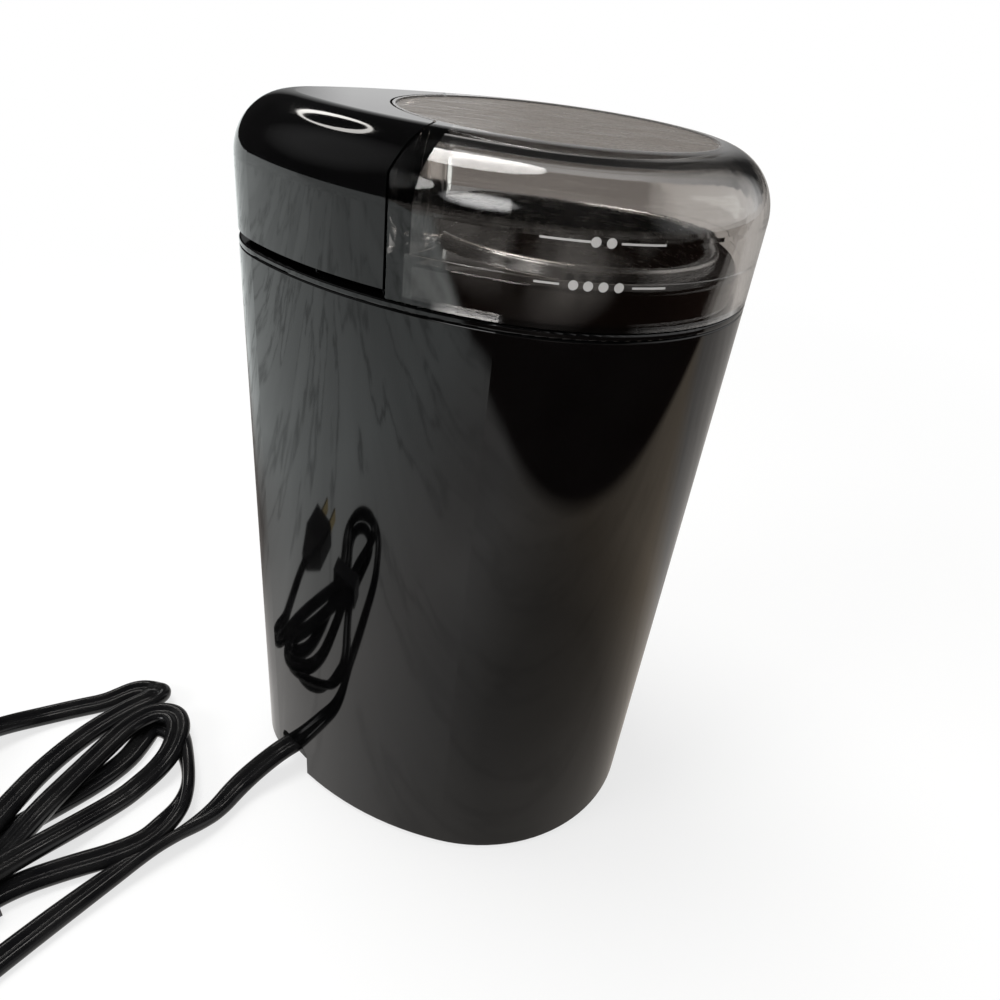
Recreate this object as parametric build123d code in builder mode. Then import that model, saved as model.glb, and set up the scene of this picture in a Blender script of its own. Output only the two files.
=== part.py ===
"""Electric spice grinder: a one-hand blade grinder with a lift-off lid and a press-down button cap.

Millimetres, +Z up.  The origin is the middle of the footprint on the surface it stands on.
+X points to the lid end, -X to the button end, and the cord leaves at the -X -Y corner.
"""
from build123d import *
from math import atan2, cos, degrees, pi, radians, sin, sqrt, tan
import os

os.makedirs("parts", exist_ok=True)

# ---------------------------------------------------------------- outside form
body_length = 112          # along X
front_radius = 47          # arc of the lid end
back_radius = 25           # arc of the button end
side_radius = 88           # the two long arcs between them
total_height = 178.5
dome_height = 28.5         # lid and button cap above the deck
rim_height = 1.0           # lower edge of the housing above the surface
housing_wall = 2.4
housing_draft = 0.27       # degrees, narrower towards the bottom
shoulder_radius = 12.5     # rounding of the domed top
edge_round = 0.4           # broken edges
slip = 0.3                 # clearance of fixed pieces that drop into each other
play = 0.4                 # clearance round pieces that move

# the four arcs of the plan are tangent, so the side arcs' centres follow from the sizes above
front_x = body_length / 2 - front_radius
back_x = back_radius - body_length / 2
centre_gap = front_x - back_x
front_reach = side_radius - front_radius
back_reach = side_radius - back_radius
side_x = front_x + (back_reach**2 - front_reach**2 - centre_gap**2) / (2 * centre_gap)
side_y = sqrt(front_reach**2 - (side_x - front_x) ** 2)
seam_height = total_height - dome_height
front_half = degrees(atan2(side_y, front_x - side_x))
back_half = degrees(atan2(side_y, back_x - side_x))


def half_width(x):
    """Half the oval's width at x, on its side arcs."""
    return sqrt(side_radius**2 - (x - side_x) ** 2) - side_y


# ---------------------------------------------------------------- deck, lid and button cap
deck_edge = 1.4            # the deck's flange, seen as a bead in the seam
deck_wall = 2.0
lip_depth = 6.0            # deck lip inside the housing
lug_width = 8              # four snap lugs on the lip, in recesses of the housing
lug_height = 2.4
lug_reach = 0.9
lug_drop = 2.0             # below the flange
lug_x = 25
disc_margin = 13           # end of the body to the lid's round top disc
disc_shift = 0.8           # disc centre ahead of the front arc's centre
disc_rim = 0.6
disc_sink = 0.35           # disc below its rim
lid_gap = 0.5              # joint line between lid and button cap
lid_float = 0.3            # lid above the deck
lid_wall = 3.0             # above the rebate
skirt_wall = 2.4           # below it, round the raised collar
lid_roof = 2.8
rebate_height = 8.6        # top of the thin skirt above the seam
collar_play = 0.8          # skirt to collar
collar_height = 7.0        # raised collar of the deck above the seam
collar_chamfer = 0.6
split_ahead = 3.2          # joint line on the sides, ahead of the disc's rear
lobe_radius = 14.7         # rounded front corners of the button cap
lobe_back = 8              # their centres behind the joint line
lobe_margin = 13.7         # and inside the body's side
cap_wall = 2.2
button_gap = 1.8           # open seam under the button cap, more than its travel of 1.5

disc_x = front_x + disc_shift
disc_radius = front_radius - disc_margin
well_radius = disc_radius + lid_gap
split_x = disc_x - well_radius + split_ahead
lobe_x = split_x - lobe_back
lobe_y = half_width(split_x) - lobe_margin
lid_bottom = seam_height + lid_float
cap_bottom = seam_height + button_gap
collar_top = seam_height + collar_height
housing_top = seam_height - deck_edge
housing_height = housing_top - rim_height
draft_inset = housing_height * tan(radians(housing_draft))
lip_outer = housing_wall + slip

# ---------------------------------------------------------------- button guides and switch
guide_behind = 9.3         # guide posts behind the disc's well
guide_y = 9
guide_radius = 2.5
guide_drop = 12            # below the deck
guide_screw_head = 4.2
guide_screw_grip = 8
sleeve_radius = 4.4
spring_radius = 4.2        # to the middle of the wire
spring_wire = 0.8
spring_pitch = 3.1
spring_sides = 6           # the wire is drawn six-sided
spring_height = 10         # deck to the shoulders of the cap that the springs push on
stem_radius = 3
stem_drop = 13.3
plunger_radius = 2
plunger_length = 8.5
plunger_bore = 7
switch_drop = 18           # its top below the deck
switch_height = 16
switch_width = 20
switch_depth = 10
switch_screw_rise = 6
switch_screw_y = 7
tab_y = 3.5                # solder tabs under the switch
tab_width = 4.8
tab_thickness = 0.8
tab_length = 6
bracket_thickness = 2.5
neck_width = 8.4

# the stem stands between the two guide posts, with the switch's plunger straight below it
stem_x = disc_x - well_radius - guide_behind
guide_spots = [(stem_x, -guide_y), (stem_x, guide_y)]
guide_bottom = seam_height - guide_drop
sleeve_bottom = guide_bottom + slip
spring_top = seam_height + spring_height
stem_bottom = seam_height - stem_drop
bracket_x = stem_x + switch_depth / 2
switch_top = seam_height - switch_drop
switch_bottom = switch_top - switch_height
switch_screw_z = switch_bottom + switch_screw_rise

# ---------------------------------------------------------------- screws
pilot_radius = 1.2         # shank, and the hole it cuts into plastic
screw_radius = 1.5         # clearance hole
screw_head = 3.0
screw_head_height = 1.2

# ---------------------------------------------------------------- bowl and blade
axis_shift = 6             # axis of motor, blade and bowl ahead of the front arc's centre
bowl_margin = 16.5         # end of the body to the inside of the bowl, as a difference of radii
bowl_sheet = 0.8
bowl_depth = 41            # collar to the underside of the floor
bowl_corner = 7
flange_reach = 3.1
rim_bead = 0.8
floor_hole = 8.6
seal_lip = 11
seal_thickness = 1.2
blade_clearance = 3.5      # blade tip to bowl
blade_root = 10
blade_tip = 6.5
blade_sheet = 1.6
blade_hub = 6.5
blade_hub_thickness = 2.6
blade_twist = 24           # degrees at the tip
blade_round = 2.5
blade_rise = 7.5           # above the bowl's underside
spacer_radius = 5
nut_across = 10
nut_height = 5
washer_radius = 5.5
washer_thickness = 0.8

axis_x = front_x + axis_shift
bowl_radius = front_radius - bowl_margin
bowl_floor = collar_top - bowl_depth
bowl_flange = bowl_radius + flange_reach
blade_radius = bowl_radius - blade_clearance
blade_seat = bowl_floor + blade_rise

# ---------------------------------------------------------------- motor
shaft_radius = 3.0
shaft_bottom = 23
shaft_over = 6.5           # above the blade's seat
running = 0.04             # radial clearance of bushes, brushes and plunger
core_bottom = 62
core_share = 0.25          # armature radius to the stator's depth
air_gap = 0.6
core_slots = 12
slot_mouth = 1.6
slot_width = 3.4
slot_inner = 8.5
tooth_tip = 1.8            # slot to the outside of the armature
winding_overhang = 6.5
winding_inset = 2
winding_round = 2.2
commutator_radius = 9.5
commutator_bottom = 43
commutator_length = 11
bar_gap = 0.6
bar_depth = 1.2
fan_clearance = 1.5        # below the upper bracket
fan_inset = 4.5            # inside the through bolts
fan_disc = 1.6
fan_height = 6.5
fan_blades = 11
fan_blade_thickness = 1.2
fan_hub = 6
stator_end_margin = 19     # stator's half length along X, less than the front radius
stator_side_margin = 17    # and its half depth along Y
yoke = 6
pole_width = 16
shoe_thickness = 3.2
shoe_half = 15.4
stator_corner = 8
window_corner = 4
coil_thickness = 3
coil_side = 5.5
coil_play = 0.4
bolt_inset = 3             # through bolts in the middle of the yoke
bolt_radius = 1.7
bracket_plate = 4
arm_width = 8.4
bridge_width = 11
upper_plate_drop = 8       # below the bowl
pillar_length = 16         # stator to upper plate
upper_hub_radius = 7
upper_hub_rise = 3.5       # above the bowl's underside
lower_plate_bottom = 30
lower_hub_radius = 8
lower_hub_bottom = 24
pillar_radius = 3.2
bush_radius = 5
bush_length = 9
mount_offset = 6           # rubber mounts outside the bowl
mount_radius = 4.2
mount_thickness = 2.5
mount_screw_grip = 12
post_radius = 3.6
brush_size = 5             # square carbon
brush_length = 11
brush_wall = 1.6
brush_axis = 48.5          # height of the brushes
holder_length = 19
holder_gap = 1.2           # commutator to holder
brush_spring_radius = 1.8
brush_spring_wire = 0.5
brush_spring_pitch = 1.9

shaft_top = blade_seat + shaft_over
stator_width = 2 * (front_radius - stator_end_margin)
stator_depth = 2 * (front_radius - stator_side_margin)
bolt_x = stator_width / 2 - bolt_inset
core_radius = core_share * stator_depth
slot_outer = core_radius - tooth_tip
winding_radius = core_radius - winding_inset
fan_radius = bolt_x - fan_inset
upper_plate_bottom = bowl_floor - upper_plate_drop
upper_hub_top = bowl_floor + upper_hub_rise
core_top = upper_plate_bottom - pillar_length
core_length = core_top - core_bottom
fan_bottom = upper_plate_bottom - fan_height - fan_clearance
upper_plate_top = upper_plate_bottom + bracket_plate
lower_plate_top = lower_plate_bottom + bracket_plate
post_bottom = upper_plate_top + mount_thickness
upper_bush_bottom = upper_hub_top - bush_length
mount_reach = bowl_radius + mount_offset
mount_angles = (60, 180, 300)
mount_spots = [
    (axis_x + mount_reach * cos(radians(angle)), mount_reach * sin(radians(angle)))
    for angle in mount_angles
]

# ---------------------------------------------------------------- base
base_bottom = 2.0
base_thickness = 2.5
foot_radius = 4.5
foot_recess = 1.0
front_foot_inset = 10.9    # from the front arc
front_foot_angle = 33.7
rear_foot_ahead = 7        # of the back arc's centre
rear_foot_inset = 15.5     # from the side
peg_radius = 1.6
peg_head = 2.4
peg_point = 0.8
peg_head_height = 3.2
front_boss_inset = 9       # from the end of the body
rear_boss_behind = 27      # behind the motor's axis
rear_boss_inset = 8.8      # from the side
rear_boss_heading = 112    # direction of its web
boss_radius = 4
boss_web = 6.5
boss_top = 26
base_screw_length = 14
tower_radius = 14          # holds the lower bearing
tower_wall = 3
tower_floor = 15
tower_top = 27
vent_width = 2.5
vent_length = 22
vent_pitch = 5
vent_rows = 3
vent_margin = 20           # middle of the vents to the side, as a difference from the front radius

front_foot_x = front_x + (front_radius - front_foot_inset) * cos(radians(front_foot_angle))
front_foot_y = (front_radius - front_foot_inset) * sin(radians(front_foot_angle))
rear_foot_x = back_x + rear_foot_ahead
rear_foot_y = half_width(rear_foot_x) - rear_foot_inset
foot_spots = [
    (front_foot_x, front_foot_y),
    (front_foot_x, -front_foot_y),
    (rear_foot_x, rear_foot_y),
    (rear_foot_x, -rear_foot_y),
]
rear_boss_x = axis_x - rear_boss_behind
rear_boss_y = half_width(rear_boss_x) - rear_boss_inset
boss_spots = [                                    # x, y and heading of the web
    (body_length / 2 - front_boss_inset, 0, 0),
    (rear_boss_x, rear_boss_y, rear_boss_heading),
    (rear_boss_x, -rear_boss_y, -rear_boss_heading),
]
vent_y = front_radius - vent_margin
base_top = base_bottom + base_thickness
base_inset = draft_inset + lip_outer

# ---------------------------------------------------------------- cord
cord_width = 7.0           # flat twin lead
cord_height = 3.5
exit_inset = 0.3           # its way out of the housing, inside the back arc
exit_bearing = -121.76     # and seen from that arc's centre
exit_angle = -135          # outward direction there
notch_width = 12
notch_height = 11
notch_below = 6
notch_round = 3
notch_reach = 8
clamp_back = 13            # clamp behind the notch
clamp_post_radius = 2.8
clamp_half = 7.2           # clamp screws each side of the cord
clamp_bar = 2.5
clamp_width = 7
bend_share = 0.45          # share of a run that each bend takes
cord_route = [
    (-31, -8, 6.25),
    (-45.5, -22.5, 6.25),
    (-63, -38.2, 1.8),
    (-72, -49, 1.8),
    (-83, -61, 1.8),
    (-95, -76, 1.8),
    (-107, -92.5, 1.8),
    (-118.4, -103, 1.8),
]
lead_route = [
    (-94.5, 1, 1.8),
    (-112.5, -3.5, 1.8),
    (-127, -13.5, 4),
    (-137.5, -26.9, 7),
]
tie_x = -116.4             # where the tie draws the hank together
tie_y = -65.5
hank_heading = -130        # direction from the near lobe to the far lobe
hank_waist = 11.5
hank_height = 8.2
hank_round = 4
near_lobe = [(-61, -25, 14), (-49, 1, 18)]     # along, across and radius, from the tie
far_lobe = [(35, 7, 20), (40, -7, 14)]
tie_width = 9
tie_sheet = 0.8
plug_height = 14
plug_width = 24
plug_body_length = 20
plug_neck_length = 14
plug_neck_width = 10
plug_neck_height = 7
plug_round = 3
lead_depth = 4             # cord inside the plug's neck
pin_width = 6.3
pin_thickness = 1.5
pin_length = 16
pin_spacing = 12.7
pin_root = 3               # pin inside the plug's body

exit_x = back_x + (back_radius - exit_inset) * cos(radians(exit_bearing))
exit_y = (back_radius - exit_inset) * sin(radians(exit_bearing))
exit_out = Vector(cos(radians(exit_angle)), sin(radians(exit_angle)), 0)
exit_along = Vector(-exit_out.Y, exit_out.X, 0)
exit_plane = Plane(origin=(exit_x, exit_y, 0), x_dir=exit_along, z_dir=exit_out)
clamp_centre = Vector(exit_x, exit_y, 0) - exit_out * clamp_back
clamp_spots = [clamp_centre + exit_along * side for side in (-clamp_half, clamp_half)]

seat = (Align.CENTER, Align.CENTER, Align.MIN)     # stands on its location
hang = (Align.CENTER, Align.CENTER, Align.MAX)     # hangs below it
motor_axis = Axis((axis_x, 0, 0), (0, 0, 1))
motor_section = Plane(origin=(axis_x, 0, 0), x_dir=(1, 0, 0), z_dir=(0, -1, 0))


def egg(inset=0.0):
    """The oval plan drawn in by inset; its arcs keep their centres, so they stay tangent."""
    with BuildSketch() as oval:
        with BuildLine():
            CenterArc((front_x, 0), front_radius - inset, -front_half, 2 * front_half)
            CenterArc((side_x, -side_y), side_radius - inset, front_half, back_half - front_half)
            CenterArc((back_x, 0), back_radius - inset, back_half, 360 - 2 * back_half)
            CenterArc((side_x, side_y), side_radius - inset, -back_half, back_half - front_half)
        make_face()
    return oval.sketch


def button_bay(grow=0.0):
    """Plan of the button's end: all behind the split, with a lobe each side of the lid's disc."""
    with BuildSketch() as bay:
        with Locations((split_x + grow, 0)):
            Rectangle(body_length, body_length, align=(Align.MAX, Align.CENTER))
        with Locations((lobe_x, lobe_y), (lobe_x, -lobe_y)):
            Circle(lobe_radius + grow)
        with Locations((disc_x, 0)):
            Circle(well_radius - grow, mode=Mode.SUBTRACT)
    return bay.sketch


def lug_windows(grow=0.0):
    """Bands across the oval where the deck's lip carries a lug on each side."""
    with BuildSketch() as bands:
        with Locations((lug_x, 0), (-lug_x, 0)):
            Rectangle(lug_width + 2 * grow, body_length)
    return bands.sketch


def write(builder, label):
    builder.part.label = label
    export_step(builder.part, f"parts/{label}.step")


# ================================================================ housing
# Tapered oval tube open at both ends: screw bosses stand on webs inside it, recesses near the
# top take the deck's lugs, and an arched notch in the lower edge lets the cord out.
with BuildPart() as housing:
    with BuildSketch(Plane.XY.offset(housing_top)):
        add(egg())
    extrude(amount=-housing_height, taper=housing_draft)
    with BuildSketch(Plane.XY.offset(housing_top)):
        add(egg(housing_wall))
    extrude(amount=-housing_height, taper=housing_draft, mode=Mode.SUBTRACT)
    rims = housing.faces().filter_by(Axis.Z)
    fillet([edge for rim in rims for edge in rim.outer_wire().edges()], edge_round)
    with BuildSketch(Plane.XY.offset(base_top)):
        for x, y, heading in boss_spots:
            with Locations((x, y)):
                Circle(boss_radius)
            with Locations(Location((x, y, 0), (0, 0, heading))):
                Rectangle(boss_web, boss_radius, align=(Align.MIN, Align.CENTER))
    extrude(amount=boss_top - base_top)
    with Locations([(x, y, base_top) for x, y, heading in boss_spots]):
        Cylinder(pilot_radius, boss_top - base_top - deck_wall, align=seat, mode=Mode.SUBTRACT)
    with BuildSketch(Plane.XY.offset(housing_top - lug_drop + slip)):
        add(egg(housing_wall - lug_reach - slip))
        add(lug_windows(slip), mode=Mode.INTERSECT)
    extrude(amount=-lug_height - 2 * slip, mode=Mode.SUBTRACT)
    with BuildSketch(exit_plane):
        with Locations((0, (notch_height - notch_below) / 2)):
            RectangleRounded(notch_width, notch_height + notch_below, notch_round)
    extrude(amount=notch_reach, both=True, mode=Mode.SUBTRACT)
write(housing, "housing")

# ================================================================ deck
# Moulded plate that closes the housing.  Its flange shows as a bead in the seam, its raised
# collar carries the bowl and locates the lid, and posts below it carry motor and switch.
collar_inset = skirt_wall + collar_play
collar_bay = lid_gap + collar_inset

with BuildPart() as collar:
    with BuildSketch(Plane.XY.offset(housing_top)):
        add(egg(collar_inset))
    extrude(amount=collar_top - housing_top)
    chamfer(collar.faces().sort_by(Axis.Z)[-1].edges(), collar_chamfer)
    with BuildSketch(Plane.XY.offset(seam_height)):
        add(button_bay(collar_bay))
    extrude(amount=collar_height, mode=Mode.SUBTRACT)

with BuildPart() as collar_room:
    with BuildSketch(Plane.XY.offset(housing_top)):
        add(egg(collar_inset + deck_wall))
        add(button_bay(collar_bay + deck_wall), mode=Mode.SUBTRACT)
    extrude(amount=collar_top - deck_wall - housing_top)

with BuildPart() as top_deck:
    with BuildSketch(Plane.XY.offset(housing_top)):
        add(egg())
    extrude(amount=deck_edge)
    fillet(top_deck.faces().filter_by(Axis.Z).edges(), edge_round)
    with BuildSketch(Plane.XY.offset(housing_top)):
        add(egg(lip_outer))
        add(egg(lip_outer + deck_wall), mode=Mode.SUBTRACT)
    extrude(amount=-lip_depth)
    with BuildSketch(Plane.XY.offset(housing_top - lug_drop)):
        add(egg(housing_wall - lug_reach))
        add(egg(lip_outer + deck_wall), mode=Mode.SUBTRACT)
        add(lug_windows(), mode=Mode.INTERSECT)
    extrude(amount=-lug_height)
    add(collar.part)
    add(collar_room.part, mode=Mode.SUBTRACT)
    # the front posts reach the collar's roof, the rear one ends in the flange
    for x, y in mount_spots:
        post_top = collar_top - deck_wall if x > axis_x else seam_height
        with Locations((x, y, post_bottom)):
            Cylinder(post_radius, post_top - post_bottom, align=seat)
    with Locations([(x, y, sleeve_bottom) for x, y in guide_spots]):
        Cylinder(sleeve_radius, seam_height - sleeve_bottom, align=seat)
    with BuildSketch(Plane.YZ.offset(bracket_x)):
        with Locations((0, housing_top)):
            Rectangle(neck_width, housing_top - switch_top, align=(Align.CENTER, Align.MAX))
        with Locations((0, switch_top)):
            Rectangle(switch_width, switch_top - switch_bottom, align=(Align.CENTER, Align.MAX))
    extrude(amount=bracket_thickness)
    with Locations([(bracket_x, y, switch_screw_z) for y in (-switch_screw_y, switch_screw_y)]):
        Cylinder(pilot_radius, 3 * bracket_thickness, rotation=(0, 90, 0), mode=Mode.SUBTRACT)
    with Locations((axis_x, 0, collar_top)):
        Cylinder(bowl_radius + bowl_sheet + slip, 3 * collar_height, mode=Mode.SUBTRACT)
    with Locations([(x, y, post_bottom) for x, y in mount_spots]):
        Cylinder(pilot_radius, mount_screw_grip, align=seat, mode=Mode.SUBTRACT)
    with Locations([(x, y, sleeve_bottom) for x, y in guide_spots]):
        Cylinder(guide_radius + play, seam_height - sleeve_bottom, align=seat, mode=Mode.SUBTRACT)
    with Locations((stem_x, 0, seam_height)):
        Cylinder(stem_radius + play, 3 * deck_edge, mode=Mode.SUBTRACT)
write(top_deck, "top_deck")

# ================================================================ lid
# Clear moulded dome with a shallow disc in its flat top, hollow and open below.  Its thinner
# skirt passes over the deck's collar, and its rear wall follows the button cap round two lobes.
with BuildPart() as lid_room:
    with BuildSketch(Plane.XY.offset(seam_height)):
        add(egg(lid_wall))
    extrude(amount=total_height - lid_roof - seam_height)
    fillet(lid_room.faces().sort_by(Axis.Z)[-1].edges(), shoulder_radius - lid_wall)
    with BuildSketch(Plane.XY.offset(seam_height)):
        add(button_bay(lid_gap + lid_wall))
    extrude(amount=total_height - seam_height, mode=Mode.SUBTRACT)

with BuildPart() as skirt_room:
    with BuildSketch(Plane.XY.offset(seam_height)):
        add(egg(skirt_wall))
        add(button_bay(lid_gap + skirt_wall), mode=Mode.SUBTRACT)
    extrude(amount=rebate_height)

with BuildPart() as lid:
    with BuildSketch(Plane.XY.offset(lid_bottom)):
        add(egg())
    extrude(amount=total_height - lid_bottom)
    fillet(lid.faces().sort_by(Axis.Z)[-1].edges(), shoulder_radius)
    with BuildSketch(Plane.XY.offset(total_height)):
        with Locations((disc_x, 0)):
            Circle(disc_radius - disc_rim)
    extrude(amount=-disc_sink, mode=Mode.SUBTRACT)
    with BuildSketch(Plane.XY.offset(lid_bottom)):
        add(button_bay(lid_gap))
    extrude(amount=total_height - lid_bottom, mode=Mode.SUBTRACT)
    add(lid_room.part, mode=Mode.SUBTRACT)
    add(skirt_room.part, mode=Mode.SUBTRACT)
write(lid, "lid")

# ================================================================ button cap
# Glossy cap that completes the dome.  It slides on two guide posts and its stem reaches the
# switch; screws under the posts keep it from lifting off.
with BuildPart() as cap_room:
    with BuildSketch(Plane.XY.offset(cap_bottom)):
        add(egg(cap_wall))
    extrude(amount=total_height - cap_wall - cap_bottom)
    fillet(cap_room.faces().sort_by(Axis.Z)[-1].edges(), shoulder_radius - cap_wall)
    with BuildSketch(Plane.XY.offset(cap_bottom)):
        add(button_bay(-cap_wall))
    extrude(amount=total_height - cap_bottom, mode=Mode.INTERSECT)

with BuildPart() as button_cap:
    with BuildSketch(Plane.XY.offset(cap_bottom)):
        add(egg())
    extrude(amount=total_height - cap_bottom)
    fillet(button_cap.faces().sort_by(Axis.Z)[-1].edges(), shoulder_radius)
    with BuildSketch(Plane.XY.offset(cap_bottom)):
        add(button_bay())
    extrude(amount=total_height - cap_bottom, mode=Mode.INTERSECT)
    add(cap_room.part, mode=Mode.SUBTRACT)
    cap_inside = total_height - cap_wall / 2
    with Locations([(x, y, spring_top) for x, y in guide_spots]):
        Cylinder(spring_radius + spring_wire, cap_inside - spring_top, align=seat)
    with Locations([(x, y, guide_bottom) for x, y in guide_spots]):
        Cylinder(guide_radius, spring_top - guide_bottom, align=seat)
        Cylinder(pilot_radius, guide_screw_grip, align=seat, mode=Mode.SUBTRACT)
    with Locations((stem_x, 0, stem_bottom)):
        Cylinder(stem_radius, cap_inside - stem_bottom, align=seat)
write(button_cap, "button_cap")

with BuildPart() as guide_screws:
    with Locations([(x, y, guide_bottom) for x, y in guide_spots]):
        Cylinder(guide_screw_head, screw_head_height, align=hang)
        Cylinder(pilot_radius, guide_screw_grip, align=seat)
write(guide_screws, "guide_screws")

# Two compression springs round the guide posts, between the deck and the cap's shoulders.
with BuildPart() as return_springs:
    for x, y in guide_spots:
        foot = (x, y, seam_height + spring_wire / 2)
        with BuildLine():
            coil = Helix(spring_pitch, spring_top - seam_height - spring_wire, spring_radius, foot)
        with BuildSketch(Plane(origin=coil @ 0, z_dir=coil % 0)):
            RegularPolygon(spring_wire / 2, spring_sides)
        sweep(path=coil)
write(return_springs, "return_springs")

# ================================================================ switch
# Push switch on the deck's bracket, with its own plunger under the stem of the cap.
switch_face = Plane.YZ.offset(bracket_x - switch_depth)
switch_screw_spots = [(-switch_screw_y, switch_screw_z), (switch_screw_y, switch_screw_z)]

with BuildPart() as switch_body:
    with Locations((bracket_x, 0, switch_bottom)):
        Box(
            switch_depth,
            switch_width,
            switch_top - switch_bottom,
            align=(Align.MAX, Align.CENTER, Align.MIN),
        )
    fillet(switch_body.edges().filter_by(Axis.Z), edge_round)
    with Locations((stem_x, 0, switch_top)):
        Cylinder(plunger_radius + running, plunger_bore, align=hang, mode=Mode.SUBTRACT)
    with BuildSketch(switch_face):
        with Locations(switch_screw_spots):
            Circle(screw_radius)
    extrude(amount=switch_depth, mode=Mode.SUBTRACT)
    with Locations([(stem_x, y, switch_bottom) for y in (-tab_y, tab_y)]):
        Box(tab_width, tab_thickness, tab_length, align=hang)
write(switch_body, "switch_body")

with BuildPart() as switch_plunger:
    with Locations((stem_x, 0, stem_bottom - slip)):
        Cylinder(plunger_radius, plunger_length, align=hang)
    fillet(switch_plunger.faces().sort_by(Axis.Z)[-1].edges(), edge_round)
write(switch_plunger, "switch_plunger")

with BuildPart() as switch_screws:
    with BuildSketch(switch_face):
        with Locations(switch_screw_spots):
            Circle(screw_head)
    extrude(amount=-screw_head_height)
    with BuildSketch(switch_face):
        with Locations(switch_screw_spots):
            Circle(pilot_radius)
    extrude(amount=switch_depth + bracket_thickness)
write(switch_screws, "switch_screws")

# ================================================================ bowl and blade
# Pressed steel bowl with a rolled rim that rests on the collar.  The motor's bearing hub
# comes up through a rubber grommet in its floor.
bend_start = bowl_radius - bowl_corner
bend_top = bowl_floor + bowl_sheet + bowl_corner

with BuildPart() as grinding_bowl:
    with BuildSketch(motor_section):
        with BuildLine():
            floor_top = Line(
                (floor_hole, bowl_floor + bowl_sheet),
                (bend_start, bowl_floor + bowl_sheet),
            )
            TangentArc(floor_top @ 1, (bowl_radius, bend_top), tangent=(1, 0))
            Polyline(
                (bowl_radius, bend_top),
                (bowl_radius, collar_top + bowl_sheet),
                (bowl_flange, collar_top + bowl_sheet),
                (bowl_flange, collar_top),
                (bowl_radius + bowl_sheet, collar_top),
                (bowl_radius + bowl_sheet, bend_top),
            )
            TangentArc((bowl_radius + bowl_sheet, bend_top), (bend_start, bowl_floor), tangent=(0, -1))
            Polyline((bend_start, bowl_floor), (floor_hole, bowl_floor), floor_top @ 0)
        make_face()
        with Locations((bowl_flange - rim_bead, collar_top + bowl_sheet)):
            Circle(rim_bead)
    revolve(axis=motor_axis)
write(grinding_bowl, "grinding_bowl")

with BuildPart() as bowl_seal:
    with BuildSketch(motor_section):
        with Locations((upper_hub_radius, bowl_floor - seal_thickness)):
            Rectangle(
                seal_lip - upper_hub_radius,
                bowl_sheet + 2 * seal_thickness,
                align=(Align.MIN, Align.MIN),
            )
        with Locations((floor_hole, bowl_floor)):
            Rectangle(seal_lip, bowl_sheet, align=(Align.MIN, Align.MIN), mode=Mode.SUBTRACT)
    revolve(axis=motor_axis)
write(bowl_seal, "bowl_seal")

with BuildPart() as blade_spacer:
    with Locations((axis_x, 0, upper_hub_top + slip)):
        Cylinder(spacer_radius, blade_seat - upper_hub_top - slip, align=seat)
        Cylinder(shaft_radius, blade_seat - upper_hub_top - slip, align=seat, mode=Mode.SUBTRACT)
write(blade_spacer, "blade_spacer")

# Each wing of the blade twists and narrows from the flat hub towards its rounded tip.
wing_end = blade_radius - blade_tip / 2
with BuildPart() as blade_wing:
    with BuildSketch(Plane(origin=(blade_hub / 2, 0, 0), x_dir=(0, 1, 0), z_dir=(1, 0, 0))):
        Rectangle(blade_root, blade_sheet)
    with BuildSketch(Plane(origin=(wing_end, 0, 0), x_dir=(0, 1, 0), z_dir=(1, 0, 0))):
        Rectangle(blade_tip, blade_sheet, rotation=blade_twist)
    loft()
    extrude(blade_wing.faces().sort_by(Axis.X)[-1], amount=blade_tip / 2)
    tip_edges = blade_wing.faces().sort_by(Axis.X)[-1].edges().sort_by(Axis.Y)
    fillet([tip_edges[0], tip_edges[-1]], blade_round)

with BuildPart() as blade:
    middle = (axis_x, 0, blade_seat + blade_hub_thickness / 2)
    with Locations(middle):
        Cylinder(blade_hub, blade_hub_thickness)
    with Locations(Location(middle), Location(middle, (0, 0, 180))):
        add(blade_wing.part)
    with Locations(middle):
        Cylinder(shaft_radius, blade_hub_thickness, mode=Mode.SUBTRACT)
write(blade, "blade")

nut_seat = blade_seat + blade_hub_thickness
with BuildPart() as blade_nut:
    with Locations((axis_x, 0, nut_seat)):
        Cylinder(washer_radius, washer_thickness, align=seat)
    with BuildSketch(Plane.XY.offset(nut_seat + washer_thickness)):
        with Locations((axis_x, 0)):
            RegularPolygon(nut_across / 2, 6, major_radius=False)
    extrude(amount=nut_height)
    chamfer(blade_nut.faces().sort_by(Axis.Z)[-1].edges(), edge_round)
    with Locations((axis_x, 0, shaft_top)):
        Cylinder(shaft_radius, shaft_top - nut_seat, align=hang, mode=Mode.SUBTRACT)
write(blade_nut, "blade_nut")

# ================================================================ rotor
with BuildPart() as motor_shaft:
    with Locations((axis_x, 0, shaft_bottom)):
        Cylinder(shaft_radius, shaft_top - shaft_bottom, align=seat)
    chamfer(motor_shaft.faces().sort_by(Axis.Z)[0].edges(), edge_round)
write(motor_shaft, "motor_shaft")

# Laminated armature core: twelve teeth whose tips nearly close the slots.
slot_middle = (slot_inner + slot_outer) / 2
slot_length = slot_outer - slot_inner
with BuildPart() as armature_core:
    with BuildSketch(Plane.XY.offset(core_bottom)):
        with Locations((axis_x, 0)):
            Circle(core_radius)
            Circle(shaft_radius, mode=Mode.SUBTRACT)
            with PolarLocations(core_radius, core_slots):
                Rectangle(2 * (core_radius - slot_middle), slot_mouth, mode=Mode.SUBTRACT)
            with PolarLocations(slot_middle, core_slots):
                Rectangle(slot_length, slot_width, mode=Mode.SUBTRACT)
    extrude(amount=core_length)
write(armature_core, "armature_core")

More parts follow.
